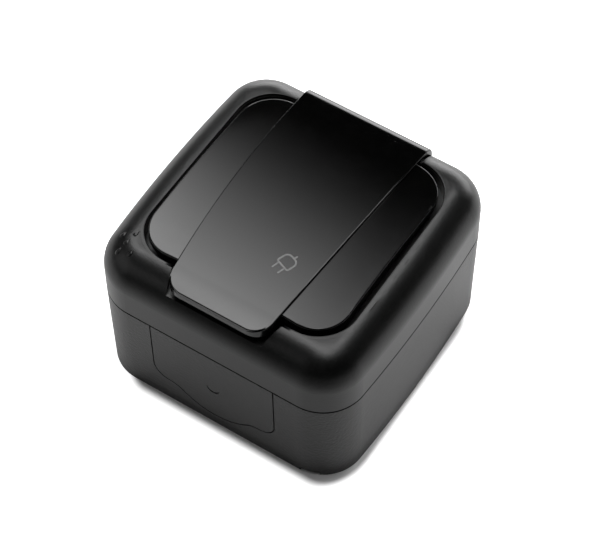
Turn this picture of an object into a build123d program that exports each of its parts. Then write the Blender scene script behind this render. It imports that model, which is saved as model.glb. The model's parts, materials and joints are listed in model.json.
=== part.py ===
from build123d import *
import os
from math import asin, cos, degrees, sin, sqrt

# Weatherproof surface socket with a hinged, spring-closed lid. Millimetres.
# The origin is the centre of the back face, +Z points out of the wall and +Y towards the hinge.

# Housing outline, shared by the box and the cover
box_length = 76.0            # Y, cable side to hinge side
box_width = 76.4             # X, across the middle of the bowed sides
side_bow = 1.75              # the sides fall back this far towards the corners
corner_radius = 12.0
wall = 2.4

# Mounting box
box_height = 30.5            # back face to seam
wall_draft = 0.75            # degrees
floor_thickness = 2.4
back_recess = 0.8
back_rim = 3.2
wall_hole_pitch = 58.0
wall_hole_radius = 2.25
wall_pad_radius = 4.6
tongue_height = 3.0
tongue_thickness = 1.2
tongue_root = 4.0
joint_gap = 0.15             # between the tongue and the cover wall
drain_place = 28.4           # X of the drain notch in the bottom edge
drain_width = 5.0
drain_height = 1.0

# Cable entry plate in the front wall
entry_width = 37.0
entry_corner = 5.0
entry_shoulder = 8.7         # height of the shoulders above the back face
entry_belly = 3.7            # height of the lowest point
belly_share = 0.72           # part of the wave that the belly arc takes
entry_gap = 0.35
entry_flange = 1.5           # the inner leaf is wider than the cut-out by this on each side
entry_leaf = 1.4
mark_height = 16.65
mark_radius = 1.9
mark_stroke = 0.6
mark_depth = 0.6             # below the wall's line at the seam

# Cover
seam_gap = 0.55
cover_height = 17.7          # seam to the top of the rim
cover_rounding = 9.0
rim_side = 8.3               # housing edge to lid opening
rim_front = 8.85
rim_back = 7.2
opening_corner = 10.8
opening_edge = 1.2           # rounding of the rim at the opening
recess_depth = 4.8
recess_wall = 1.8
deck_thickness = 3.4
ledge_height = 1.5
notch_drop = 3.2             # finger notch floor below the rim
notch_inset = 0.5            # notch side inside the band's front corner, which is round
notch_flare = 2.0            # notch side outside the band's front corner, at the opening

# Lid
lid_gap = 1.4
lid_front_gap = 0.65
lid_back_gap = 1.6
lid_rise = 3.75              # highest line of the band above the rim
lid_apex = -5.7              # Y of the highest line
lid_crown = 245.0            # radius of the crown along Y
wing_crown = 225.0           # radius of the wings' fall to the sides
wing_dip = 0.1               # highest point of the wings below the band
lid_wall = 1.8
wing_edge = 0.4
band_edge = 0.35
band_front_width = 28.6
band_back_width = 36.6
band_bow = 1.0               # bulge of the band's sides
lip_setback = 1.8            # housing front to lip face
lip_clearance = 2.6
lip_height = 1.7
lip_corner = 5.0
roll_length = 3.4
roll_break = 0.002           # start of the front roll above the crown, so that the two cross
rib_gap = 3.2                # opening edge to the seal rib
rib_back_gap = 4.4
rib_thickness = 1.4
rib_clearance = 1.2          # deck to rib

# Seals
seal_side = 0.65
seal_fit = 0.05
seal_clearance = 0.3
seal_grip = 1.0
box_seal_height = 1.5
face_seal_height = 0.6

# Hinge
hinge_inset = 5.4            # housing back to hinge axis
knuckle_radius = 4.3
pin_radius = 1.25
pin_fit = 0.03
knuckle_fit = 0.06
trough_gap = 0.5
trough_side_gap = 0.45
ear_thickness = 3.2
spring_wire = 0.7
spring_radius = 2.2
spring_turns = 4.25
spring_pitch = 0.95
spring_room = 0.5            # free space round the coil in its pocket

# Plug recess
cup_radius = 19.75
cup_wall = 1.8
cup_depth = 17.5
cup_ledge = 1.0              # step at the bottom that the pin plate rests on
ledge_width = 2.0
pin_plate_thickness = 2.2
pin_plate_fit = 0.1
cup_clearance = 0.3
flange_width = 2.0
flange_thickness = 1.2
pin_spacing = 19.0
pin_hole_radius = 2.75
guide_width = 4.6
guide_depth = 2.2
guide_drop = 3.0
earth_slot_width = 6.0
earth_slot_bottom = 2.5      # slot start above the recess floor
earth_slot_top = 4.4         # slot end below the face

# Insert
plate_thickness = 1.2
plate_width = 16.0
plate_end = 3.6              # plate beyond the screw centre
plate_screw_inset = 7.3      # inside of the wall to the screw centre
plate_pin_radius = 3.75
block_wall = 1.5             # outside of the contact chambers
earth_room = 6.0             # block end to earth clip
block_corner = 3.0
chamber_width = 8.0
chamber_floor = 1.6
terminal_back = 11.5         # pin line to terminal screw
strip_thickness = 0.8
strip_width = 5.0
strip_clearance = 1.2        # strip above the box floor
clip_clearance = 0.45
clip_reach = 0.9             # clip inside the recess wall
clip_drop = 4.6              # clip end below the face
contact_thickness = 0.8
contact_width = 6.0
contact_grip = 4.6
contact_drop = 1.2
contact_tip_radius = 2.6     # hole under the tip of the plug pin
insert_radius = 3.0
insert_length = 8.0
clamp_side_gap = 0.3
clamp_thickness = 1.2
clamp_opening = 1.6

# Fasteners
screw_radius = 1.5
screw_head_radius = 2.6
screw_head_height = 1.8
screw_hold = 10.0            # screw length in its post
screw_fit = 0.1
screw_land = 2.1             # flange edge to screw head
screw_sink = 0.2             # screw head below the face that it sits in
post_wall = 2.2
face_screw_radius = 1.75
face_screw_head_radius = 3.0
face_screw_head_height = 1.2
slot_width = 0.9
slot_depth = 0.9
rivet_radius = 1.5
rivet_head_radius = 2.4
rivet_head_height = 0.8
rivet_length = 4.0

# Places worked out from the sizes
half_length = box_length / 2
half_width = box_width / 2
floor_top = back_recess + floor_thickness
cover_base = box_height + seam_gap
cover_top = box_height + cover_height
deck_top = cover_top - recess_depth
deck_bottom = deck_top - deck_thickness
notch_floor = cover_top - notch_drop
tongue_outer = wall + joint_gap
tongue_inner = tongue_outer + tongue_thickness
tongue_top = box_height + tongue_height
ledge_bottom = tongue_top + box_seal_height
post_top = tongue_top - joint_gap
band_top = cover_top + lid_rise
wing_top = band_top - wing_dip
crown_centre = band_top - lid_crown
lip_face = -half_length + lip_setback
lip_bottom = notch_floor + lip_clearance
rib_bottom = deck_top + rib_clearance
hinge_y = half_length - hinge_inset
hinge_z = crown_centre + sqrt((lid_crown - knuckle_radius) ** 2 - (hinge_y - lid_apex) ** 2)
trough_radius = knuckle_radius + trough_gap
trough_half = band_back_width / 2 + trough_side_gap
ear_end = trough_half + ear_thickness
pocket_radius = spring_radius + spring_wire / 2 + spring_room
spring_length = spring_turns * spring_pitch
pocket_half = spring_length / 2 + spring_wire / 2 + spring_room
face_top = deck_top
flange_bottom = face_top - flange_thickness
flange_seat = flange_bottom - face_seal_height
recess_floor = face_top - cup_depth
pin_plate_bottom = recess_floor - pin_plate_thickness
cup_bottom = pin_plate_bottom - cup_ledge
cup_outer = cup_radius + cup_wall
flange_radius = cup_outer + flange_width
plate_bottom = cup_bottom - plate_thickness
strip_bottom = floor_top + strip_clearance
block_bottom = strip_bottom + strip_thickness
chamber_bottom = block_bottom + chamber_floor
screw_place = (flange_radius + screw_head_radius + screw_land) / sqrt(2)
pin_place = pin_spacing / 2
post_radius = screw_radius + post_wall
hole_radius = screw_radius + screw_fit
clip_y = cup_outer + clip_clearance
block_width = 2 * (pin_place + chamber_width / 2 + block_wall)
block_length = 2 * (clip_y - earth_room)
earth_terminal = clip_y - earth_room / 2
clamp_size = earth_room - 2 * clamp_side_gap
screw_seat = deck_top - screw_sink - screw_head_height


def arc_drop(distance, radius):
    """Fall of an arc at a distance from its highest point."""
    return radius - sqrt(radius ** 2 - distance ** 2)


def band_height(y):
    """Height of the band's crown at y."""
    return band_top - arc_drop(y - lid_apex, lid_crown)


def housing_outline(inset):
    """Plan of the housing, moved in by inset: straight front and back, bowed sides, round corners."""
    x_middle = half_width - inset
    x_corner = x_middle - side_bow
    y_end = half_length - inset
    with BuildSketch() as outline:
        with BuildLine():
            Line((-x_corner, -y_end), (x_corner, -y_end))
            ThreePointArc((x_corner, -y_end), (x_middle, 0), (x_corner, y_end))
            Line((x_corner, y_end), (-x_corner, y_end))
            ThreePointArc((-x_corner, y_end), (-x_middle, 0), (-x_corner, -y_end))
        make_face()
        fillet(outline.vertices(), corner_radius - inset)
    return outline.sketch


def housing_ring(outer_inset, inner_inset):
    """Plan of a wall that follows the housing."""
    with BuildSketch() as ring:
        add(housing_outline(outer_inset))
        add(housing_outline(inner_inset), mode=Mode.SUBTRACT)
    return ring.sketch


def box_block():
    """The box as a solid block, drafted from the seam to the back face."""
    with BuildPart() as block:
        with BuildSketch(Plane.XY.offset(box_height)):
            add(housing_outline(0))
        extrude(amount=-box_height, taper=wall_draft)
    return block.part


def entry_outline(gap, top):
    """Front view of the cable entry, moved in by gap: round shoulders and a wave into a round belly."""
    corner_x = entry_width / 2 - entry_corner
    rise = entry_shoulder - entry_belly
    reach = (corner_x ** 2 + rise ** 2) / (2 * rise)
    belly_radius = belly_share * reach - gap
    share = belly_radius / reach
    belly_centre = entry_belly + belly_share * reach
    shoulder_centre = entry_shoulder - (1 - belly_share) * reach
    bend = (share * corner_x, belly_centre + share * (shoulder_centre - belly_centre))
    side_x = entry_width / 2 - gap
    shoulder = (corner_x, entry_shoulder + gap)
    with BuildSketch() as outline:
        with BuildLine():
            TangentArc((0, entry_belly + gap), bend, tangent=(1, 0))
            TangentArc(shoulder, bend, tangent=(-1, 0))
            TangentArc(shoulder, (side_x, entry_shoulder + entry_corner), tangent=(1, 0))
            Line((side_x, entry_shoulder + entry_corner), (side_x, top))
            Line((side_x, top), (0, top))
            mirror(about=Plane.YZ)
        make_face()
    return outline.sketch


def wing_shell(top, thickness):
    """Plate of even thickness, crowned along Y and falling to both sides of the lid."""
    tilt = asin(half_length / lid_crown)
    centre = (0, lid_apex, top - lid_crown)
    edge = lid_crown - arc_drop(half_width, wing_crown)
    with BuildPart() as shell:
        with BuildSketch(Plane(centre, x_dir=(1, 0, 0), z_dir=(0, -cos(tilt), -sin(tilt)))):
            with BuildLine():
                upper = ThreePointArc((-half_width, edge), (0, lid_crown), (half_width, edge))
                lower = ThreePointArc((-half_width, edge - thickness), (0, lid_crown - thickness),
                                      (half_width, edge - thickness))
                Line(upper @ 0, lower @ 0)
                Line(upper @ 1, lower @ 1)
            make_face()
        revolve(axis=Axis(centre, (-1, 0, 0)), revolution_arc=2 * degrees(tilt))
    return shell.part


def band_prism():
    """Flared plan of the lid's band with its round front corners, taller than the band."""
    y_back = hinge_y + knuckle_radius
    x_middle = (band_front_width + band_back_width) / 4 + band_bow
    y_middle = (lip_face + y_back) / 2
    with BuildPart() as prism:
        with BuildSketch(Plane.XY.offset(rib_bottom - knuckle_radius)):
            with BuildLine():
                left_side = ThreePointArc((-band_front_width / 2, lip_face), (-x_middle, y_middle),
                                          (-band_back_width / 2, y_back))
                right_side = ThreePointArc((band_front_width / 2, lip_face), (x_middle, y_middle),
                                           (band_back_width / 2, y_back))
                Line(left_side @ 0, right_side @ 0)
                Line(left_side @ 1, right_side @ 1)
            plan = make_face()
            fillet(plan.vertices().group_by(Axis.Y)[0], lip_corner)
        extrude(amount=band_top - rib_bottom + 2 * knuckle_radius)
    return prism.part


def cover_block(inset, base):
    """The cover as a solid block, moved in by inset and rounded all round the top."""
    with BuildPart() as block:
        with BuildSketch(Plane.XY.offset(base)):
            add(housing_outline(inset))
        extrude(amount=cover_top - inset - base)
        fillet(block.faces().sort_by(Axis.Z)[-1].edges(), cover_rounding - inset)
    return block.part


def opening_outline(inset, front_inset, back_inset):
    """Plan of the lid opening, moved in by inset, and by its own insets at the front and the hinge side."""
    x_side = half_width - rim_side - inset
    y_front = -half_length + rim_front + front_inset
    y_back = half_length - rim_back - back_inset
    with BuildSketch() as outline:
        with BuildLine():
            Polyline((-x_side, y_front), (x_side, y_front), (x_side, y_back), (-x_side, y_back), close=True)
        make_face()
        fillet(outline.vertices(), opening_corner - inset)
    return outline.sketch


def notch_outline(grow):
    """Plan of the finger notch, widened by grow: it narrows towards the front."""
    front = lip_face
    back = -half_length + rim_front
    slope = (notch_flare + notch_inset) / (back - front)
    y_out = -box_length
    y_in = back + recess_wall
    with BuildSketch() as outline:
        with BuildLine():
            x_front = band_front_width / 2 - notch_inset + grow
            x_out = x_front + slope * (-half_length - wall - front)
            x_in = x_front + slope * (y_in - front)
            y_step = -half_length - wall
            Polyline((-x_out, y_out), (x_out, y_out), (x_out, y_step), (x_in, y_in), (-x_in, y_in),
                     (-x_out, y_step), close=True)
        make_face()
    return outline.sketch


def trough_profile(radius):
    """Side view of the hinge trough: round below the axis, open above it and towards the back."""
    with BuildSketch() as profile:
        with Locations((hinge_y, hinge_z)):
            Circle(radius)
            Rectangle(box_length, cover_top, align=(Align.MIN, Align.MIN))
            Rectangle(radius, cover_top, align=(Align.MAX, Align.MIN))
    return profile.sketch


def rib_outline(grow):
    """Plan of the seal rib under the lid, its outer edge moved out by grow."""
    return opening_outline(rib_gap - grow, rib_gap - grow, rib_back_gap - grow)


def slotted_screws(points, seat, radius, length, head_radius, head_height):
    """Screws along -Z with slotted heads on the height seat."""
    with BuildPart() as screws:
        with BuildSketch(Plane.XY.offset(seat)):
            with Locations(*points):
                Circle(head_radius)
        extrude(amount=head_height)
        chamfer(screws.faces().group_by(Axis.Z)[-1].edges(), head_height / 4)
        with BuildSketch(Plane.XY.offset(seat)):
            with Locations(*points):
                Circle(radius)
        extrude(amount=-length)
        with BuildSketch(Plane.XY.offset(seat + head_height)):
            with Locations(*points):
                Rectangle(2 * head_radius, slot_width)
        extrude(amount=-slot_depth, mode=Mode.SUBTRACT)
    return screws.part


def clamp_plates(points, seat):
    """Square wire clamps on the height seat, each with a hole for its screw."""
    with BuildPart() as clamps:
        with BuildSketch(Plane.XY.offset(seat)):
            with Locations(*points):
                RectangleRounded(clamp_size, clamp_size, clamp_size / 8)
                Circle(face_screw_radius + screw_fit, mode=Mode.SUBTRACT)
        extrude(amount=clamp_thickness)
    return clamps.part


os.makedirs("parts", exist_ok=True)

corner_points = [(x * screw_place, y * screw_place) for x in (-1, 1) for y in (-1, 1)]
plate_screw_place = half_width - wall - plate_screw_inset
plate_points = [(-plate_screw_place, 0), (plate_screw_place, 0)]
pin_points = [(-pin_place, 0), (pin_place, 0)]

# Mounting box
with BuildPart() as mounting_box:
    add(box_block())
    with BuildSketch(Plane.XY.offset(floor_top)):
        add(housing_outline(wall))
    extrude(amount=box_height, mode=Mode.SUBTRACT)
    # Tongue that the cover slips over
    with BuildSketch(Plane.XY.offset(box_height - tongue_root)):
        add(housing_ring(wall - joint_gap, tongue_inner))
    extrude(amount=tongue_root)
    with BuildSketch(Plane.XY.offset(box_height)):
        add(housing_ring(tongue_outer, tongue_inner))
    extrude(amount=tongue_height)
    # Way for the cable entry plate, wider behind the wall for its inner leaf
    with BuildSketch(Plane.XZ.offset(half_length - wall)):
        add(entry_outline(0, tongue_top + wall))
    extrude(amount=2 * wall, mode=Mode.SUBTRACT)
    with BuildSketch(Plane.XZ.offset(half_length - wall)):
        add(entry_outline(-entry_flange - entry_gap, tongue_top + wall))
    extrude(amount=-entry_leaf - 2 * tongue_thickness, mode=Mode.SUBTRACT)
    # Posts for the cover screws and the support plate
    with BuildSketch(Plane.XY.offset(floor_top)):
        with Locations(*corner_points):
            Circle(post_radius)
    extrude(amount=post_top - floor_top)
    with BuildSketch(Plane.XY.offset(floor_top)):
        with Locations(*plate_points):
            Circle(post_radius)
    extrude(amount=plate_bottom - floor_top)
    with BuildSketch(Plane.XY.offset(post_top)):
        with Locations(*corner_points):
            Circle(hole_radius)
    extrude(amount=-screw_hold - screw_fit, mode=Mode.SUBTRACT)
    with BuildSketch(Plane.XY.offset(plate_bottom)):
        with Locations(*plate_points):
            Circle(hole_radius)
    extrude(amount=-screw_hold - screw_fit, mode=Mode.SUBTRACT)
    # Shallow recess in the back, with pads round the wall fixing holes
    with BuildSketch():
        add(housing_outline(back_rim))
        with GridLocations(wall_hole_pitch, wall_hole_pitch, 2, 2):
            Circle(wall_pad_radius, mode=Mode.SUBTRACT)
    extrude(amount=back_recess, mode=Mode.SUBTRACT)
    with BuildSketch():
        with GridLocations(wall_hole_pitch, wall_hole_pitch, 2, 2):
            Circle(wall_hole_radius)
    extrude(amount=floor_top, mode=Mode.SUBTRACT)
    # Drain notch in the bottom edge
    with BuildSketch():
        with Locations((drain_place, -half_length)):
            Rectangle(drain_width, 2 * back_rim + wall)
    extrude(amount=drain_height, mode=Mode.SUBTRACT)
mounting_box.part.label = "mounting_box"
export_step(mounting_box.part, "parts/mounting_box.step")

# Cable entry plate
with BuildPart() as cable_entry_plate:
    with BuildSketch(Plane.XZ.offset(half_length - wall)):
        add(entry_outline(entry_gap, box_height))
    extrude(amount=2 * wall)
    add(box_block(), mode=Mode.INTERSECT)
    # Inner leaf and its length of the tongue
    with BuildSketch(Plane.XZ.offset(half_length - wall)):
        add(entry_outline(-entry_flange, box_height))
    extrude(amount=-entry_leaf)
    with BuildSketch(Plane.XY.offset(box_height)):
        add(housing_ring(tongue_outer, tongue_inner))
        with Locations((0, -half_length)):
            Rectangle(entry_width + 2 * entry_flange, 4 * tongue_inner, mode=Mode.INTERSECT)
    extrude(amount=tongue_height)
    # Crescent mark
    with BuildSketch(Plane.XZ.offset(half_length)):
        with Locations((0, mark_height)):
            Circle(mark_radius)
        with Locations((0, mark_height + mark_stroke)):
            Circle(mark_radius, mode=Mode.SUBTRACT)
    extrude(amount=-mark_depth, mode=Mode.SUBTRACT)
cable_entry_plate.part.label = "cable_entry_plate"
export_step(cable_entry_plate.part, "parts/cable_entry_plate.step")

# Seal between the box and the cover
with BuildPart() as box_seal:
    with BuildSketch(Plane.XY.offset(tongue_top)):
        add(housing_ring(tongue_outer, tongue_inner))
    extrude(amount=box_seal_height)
box_seal.part.label = "box_seal"
export_step(box_seal.part, "parts/box_seal.step")

# Space inside the cover, with the recess, notch, hinge trough, screw bosses and seal ledge left standing
with BuildPart() as cover_space:
    add(cover_block(wall, cover_base - wall))
    with BuildSketch(Plane.XY.offset(deck_bottom)):
        add(opening_outline(-recess_wall, -recess_wall, -recess_wall))
    extrude(amount=recess_depth + deck_thickness, mode=Mode.SUBTRACT)
    with BuildSketch(Plane.XY.offset(notch_floor - recess_wall)):
        add(notch_outline(recess_wall))
    extrude(amount=cover_height, mode=Mode.SUBTRACT)
    with BuildSketch(Plane.YZ):
        add(trough_profile(trough_radius + recess_wall))
    extrude(amount=ear_end, both=True, mode=Mode.SUBTRACT)
    with BuildSketch(Plane.XY.offset(post_top)):
        with Locations(*corner_points):
            Circle(post_radius)
    extrude(amount=cover_height, mode=Mode.SUBTRACT)
    with BuildSketch(Plane.XY.offset(ledge_bottom)):
        add(housing_ring(wall - joint_gap, tongue_inner))
    extrude(amount=ledge_height, mode=Mode.SUBTRACT)

# Well that the lid closes, flaring at the top so that the rim comes out round
with BuildPart() as lid_well:
    with BuildSketch(Plane.XY.offset(deck_top)):
        add(opening_outline(0, 0, 0))
    extrude(amount=recess_depth)
    with BuildSketch(Plane.XY.offset(cover_top)):
        add(opening_outline(-recess_wall, -recess_wall, -recess_wall))
    extrude(amount=recess_wall)
    well_step = lid_well.faces().filter_by(Plane.XY).sort_by(Axis.Z)[1]
    fillet(well_step.inner_wires().edges(), opening_edge)

# Cover
with BuildPart() as cover:
    add(cover_block(0, cover_base))
    add(cover_space.part, mode=Mode.SUBTRACT)
    add(lid_well.part, mode=Mode.SUBTRACT)
    with BuildSketch(Plane.XY.offset(notch_floor)):
        add(notch_outline(0))
    extrude(amount=cover_height, mode=Mode.SUBTRACT)
    with BuildSketch(Plane.YZ):
        add(trough_profile(trough_radius))
    extrude(amount=trough_half, both=True, mode=Mode.SUBTRACT)
    # Bores for the hinge pin in the two ears
    with BuildSketch(Plane.YZ):
        with Locations((hinge_y, hinge_z)):
            Circle(pin_radius + pin_fit)
    extrude(amount=ear_end, both=True, mode=Mode.SUBTRACT)
    # Hole and seat for the plug recess, holes and head seats for the cover screws
    with BuildSketch(Plane.XY.offset(deck_top)):
        Circle(cup_outer + cup_clearance)
    extrude(amount=-deck_thickness, mode=Mode.SUBTRACT)
    with BuildSketch(Plane.XY.offset(flange_seat)):
        Circle(flange_radius + cup_clearance)
    extrude(amount=deck_top - flange_seat, mode=Mode.SUBTRACT)
    with BuildSketch(Plane.XY.offset(deck_top)):
        with Locations(*corner_points):
            Circle(hole_radius)
    extrude(amount=post_top - deck_top, mode=Mode.SUBTRACT)
    with BuildSketch(Plane.XY.offset(screw_seat)):
        with Locations(*corner_points):
            Circle(screw_head_radius + screw_fit)
    extrude(amount=deck_top - screw_seat, mode=Mode.SUBTRACT)
cover.part.label = "cover"
export_step(cover.part, "parts/cover.step")

# Raised band of the lid: points of its side view, with lip, crown and hinge knuckle
roll_start = lip_face + roll_length
roll_slope = (lid_apex - roll_start) / (band_height(roll_start) - crown_centre)
lip_top = lip_bottom + lip_height
knuckle_reach = lid_crown / (lid_crown - knuckle_radius)
knuckle_touch = (lid_apex + (hinge_y - lid_apex) * knuckle_reach,
                 crown_centre + (hinge_z - crown_centre) * knuckle_reach)
band_sink = wing_dip + 2 * lid_wall / 3
rib_front = -half_length + rim_front + rib_gap + rib_thickness
rib_back = half_length - rim_back - rib_back_gap - rib_thickness
knuckle_out = (2 * knuckle_touch[0] - hinge_y, 2 * knuckle_touch[1] - hinge_z)
above_band = (lid_apex, band_top + knuckle_radius)
under_back = (rib_back, band_height(rib_back) - band_sink)
under_front = (rib_front, band_height(rib_front) - band_sink)

# Crowned block with rounded edges that the band is cut from
with BuildPart() as band_block:
    with BuildSketch(Plane.YZ):
        with BuildLine():
            block_end = half_length + knuckle_radius
            front_top = (-block_end, band_height(-block_end))
            back_top = (block_end, band_height(block_end))
            ThreePointArc(front_top, (lid_apex, band_top), back_top)
            Polyline(front_top, (-block_end, rib_bottom), (block_end, rib_bottom), back_top)
        make_face()
    extrude(amount=half_width, both=True)
    add(band_prism(), mode=Mode.INTERSECT)
    crown = band_block.faces().sort_by(Axis.Z)[-1]
    fillet(crown.edges().sort_by(Axis.Y)[:-1], band_edge)

# Band from the lip to the hinge
with BuildPart() as band:
    with BuildSketch(Plane.YZ):
        with BuildLine():
            Polyline((roll_start, lip_bottom), (lip_face, lip_bottom), (lip_face, lip_top))
            roll_end = (roll_start, band_height(roll_start) + roll_break)
            TangentArc(roll_end, (lip_face, lip_top), tangent=(-1, -roll_slope))
            Polyline(roll_end, above_band, knuckle_out, (hinge_y, hinge_z), under_back)
            ThreePointArc(under_back, (lid_apex, band_top - band_sink), under_front)
            Line(under_front, (roll_start, lip_bottom))
        side_view = make_face()
        fillet(side_view.vertices().group_by(Axis.X)[0].sort_by(Axis.Y)[-1], band_edge)
    extrude(amount=half_width, both=True)
    add(band_block.part, mode=Mode.INTERSECT)

# Hinge knuckle, round the back of the band
with BuildPart() as knuckle:
    with BuildSketch(Plane.YZ):
        with Locations((hinge_y, hinge_z)):
            Circle(knuckle_radius)
        with BuildLine():
            Polyline((hinge_y, hinge_z), knuckle_out, above_band, under_back, close=True)
        make_face(mode=Mode.SUBTRACT)
    extrude(amount=half_width, both=True)
    add(band_prism(), mode=Mode.INTERSECT)
    roll = knuckle.faces().filter_by(GeomType.CYLINDER).sort_by(Axis.Y)[-1]
    fillet(roll.edges().filter_by(Axis.X, reverse=True), band_edge)

# Rib under the lid that carries the seal
lid_rib_height = wing_top - lid_wall / 2 - rib_bottom
with BuildPart() as lid_rib:
    with BuildSketch(Plane.XY.offset(rib_bottom)):
        add(rib_outline(0))
        add(rib_outline(-rib_thickness), mode=Mode.SUBTRACT)
    extrude(amount=lid_rib_height)
    add(wing_shell(wing_top - lid_wall / 2, lid_rib_height + lid_wall), mode=Mode.INTERSECT)

# Lid: two wings, band and rib in one moulding
with BuildPart() as lid:
    with BuildSketch(Plane.XY.offset(deck_top)):
        add(opening_outline(lid_gap, lid_front_gap, lid_back_gap))
    extrude(amount=wing_top - deck_top)
    add(wing_shell(wing_top, lid_wall), mode=Mode.INTERSECT)
    fillet(lid.faces().sort_by(Axis.Z)[-1].edges(), wing_edge)
    add(band.part)
    add(knuckle.part)
    add(lid_rib.part)
    # Bore for the pin, and the pocket for the spring, open below the hinge axis
    with BuildSketch(Plane.YZ):
        with Locations((hinge_y, hinge_z)):
            Circle(pin_radius + knuckle_fit)
    extrude(amount=half_width, both=True, mode=Mode.SUBTRACT)
    with BuildSketch(Plane.YZ):
        with Locations((hinge_y, hinge_z)):
            Circle(pocket_radius)
            Rectangle(2 * trough_radius, trough_radius, align=(Align.CENTER, Align.MAX))
    extrude(amount=pocket_half, both=True, mode=Mode.SUBTRACT)
lid.part.label = "lid"
export_step(lid.part, "parts/lid.step")

# Seal on the lid's rib
with BuildPart() as lid_seal:
    with BuildSketch(Plane.XY.offset(deck_top + seal_clearance)):
        add(rib_outline(seal_side))
        add(rib_outline(-rib_thickness - seal_side), mode=Mode.SUBTRACT)
    extrude(amount=rib_bottom + seal_grip - deck_top - seal_clearance)
    with BuildSketch(Plane.XY.offset(rib_bottom)):
        add(rib_outline(seal_fit))
        add(rib_outline(-rib_thickness - seal_fit), mode=Mode.SUBTRACT)
    extrude(amount=seal_grip, mode=Mode.SUBTRACT)
lid_seal.part.label = "lid_seal"
export_step(lid_seal.part, "parts/lid_seal.step")

# Hinge pin
with BuildPart() as hinge_pin:
    with BuildSketch(Plane.YZ):
        with Locations((hinge_y, hinge_z)):
            Circle(pin_radius)
    extrude(amount=ear_end, both=True)
    chamfer(hinge_pin.edges().filter_by(GeomType.CIRCLE), pin_radius / 4)
hinge_pin.part.label = "hinge_pin"
export_step(hinge_pin.part, "parts/hinge_pin.step")

# Torsion spring round the pin: one leg hooks inside the lid's pocket, the other stands in the trough
spring_start = (-spring_length / 2, hinge_y, hinge_z)
foot_room = sqrt((trough_radius - spring_wire / 2) ** 2 - spring_radius ** 2)
with BuildPart() as lid_spring:
    with BuildLine() as coil_line:
        coil = Helix(spring_pitch, spring_length, spring_radius, center=spring_start, direction=(1, 0, 0))
        hook = Line(coil @ 0, (coil @ 0) - (coil % 0) * spring_wire)
        foot = Line(coil @ 1, (coil @ 1) + (coil % 1) * (foot_room - spring_wire / 2))
    with BuildSketch(Plane(hook @ 1, z_dir=hook % 1)):
        Circle(spring_wire / 2)
    sweep(path=coil_line.wires()[0])
lid_spring.part.label = "lid_spring"
export_step(lid_spring.part, "parts/lid_spring.step")

# Round plug recess, open at the bottom, with a ledge for the pin plate
with BuildPart() as socket_face:
    with BuildSketch(Plane.XZ):
        with BuildLine():
            ledge_radius = cup_radius - ledge_width
            Polyline((ledge_radius, cup_bottom), (cup_outer, cup_bottom), (cup_outer, flange_bottom),
                     (flange_radius, flange_bottom), (flange_radius, face_top), (cup_radius, face_top),
                     (cup_radius, pin_plate_bottom), (ledge_radius, pin_plate_bottom), close=True)
        make_face()
    revolve(axis=Axis.Z)
    chamfer(socket_face.edges().group_by(Axis.Z)[-1], flange_thickness / 3)
    # Guide ribs at the two sides
    with BuildSketch(Plane.XY.offset(recess_floor)):
        for side in (-1, 1):
            with Locations((side * (cup_radius - guide_depth / 2 + cup_wall / 4), 0)):
                Rectangle(guide_depth + cup_wall / 2, guide_width)
    extrude(amount=cup_depth - guide_drop)
    # Slots for the earth clips
    with BuildSketch(Plane.XY.offset(recess_floor + earth_slot_bottom)):
        Rectangle(earth_slot_width, 2 * cup_outer + wall)
    extrude(amount=cup_depth - earth_slot_bottom - earth_slot_top, mode=Mode.SUBTRACT)
socket_face.part.label = "socket_face"
export_step(socket_face.part, "parts/socket_face.step")

# Pin plate: floor of the plug recess, with the two pin holes and the seat of the centre screw
face_screw_seat = recess_floor - face_screw_head_height
with BuildPart() as pin_plate:
    with BuildSketch(Plane.XY.offset(pin_plate_bottom)):
        Circle(cup_radius - pin_plate_fit)
        with Locations(*pin_points):
            Circle(pin_hole_radius, mode=Mode.SUBTRACT)
        Circle(face_screw_radius + screw_fit, mode=Mode.SUBTRACT)
    extrude(amount=pin_plate_thickness)
    with BuildSketch(Plane.XY.offset(face_screw_seat)):
        Circle(face_screw_head_radius + screw_fit)
    extrude(amount=face_screw_head_height, mode=Mode.SUBTRACT)
pin_plate.part.label = "pin_plate"
export_step(pin_plate.part, "parts/pin_plate.step")

# Seal between the flange and the deck
with BuildPart() as face_seal:
    with BuildSketch(Plane.XY.offset(flange_seat)):
        Circle(flange_radius - cup_clearance)
        Circle(cup_outer + cup_clearance, mode=Mode.SUBTRACT)
    extrude(amount=face_seal_height)
face_seal.part.label = "face_seal"
export_step(face_seal.part, "parts/face_seal.step")

# Support plate under the recess
with BuildPart() as support_plate:
    with BuildSketch(Plane.XY.offset(plate_bottom)):
        RectangleRounded(2 * (plate_screw_place + plate_end), plate_width, plate_end)
        with Locations(*plate_points):
            Circle(hole_radius, mode=Mode.SUBTRACT)
        with Locations(*pin_points):
            Circle(plate_pin_radius, mode=Mode.SUBTRACT)
        Circle(face_screw_radius + screw_fit, mode=Mode.SUBTRACT)
    extrude(amount=plate_thickness)
support_plate.part.label = "support_plate"
export_step(support_plate.part, "parts/support_plate.step")

with BuildPart() as plate_screws:
    add(slotted_screws(plate_points, cup_bottom, screw_radius, plate_thickness + screw_hold,
                       screw_head_radius, screw_head_height))
plate_screws.part.label = "plate_screws"
export_step(plate_screws.part, "parts/plate_screws.step")

with BuildPart() as cover_screws:
    add(slotted_screws(corner_points, screw_seat, screw_radius, screw_seat - post_top + screw_hold,
                       screw_head_radius, screw_head_height))
cover_screws.part.label = "cover_screws"
export_step(cover_screws.part, "parts/cover_screws.step")

# Centre screw and the threaded insert that takes it
face_screw_length = face_screw_seat - plate_bottom + insert_length / 2
with BuildPart() as face_screw:
    add(slotted_screws([(0, 0)], face_screw_seat, face_screw_radius, face_screw_length,
                       face_screw_head_radius, face_screw_head_height))
face_screw.part.label = "face_screw"
export_step(face_screw.part, "parts/face_screw.step")

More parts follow.
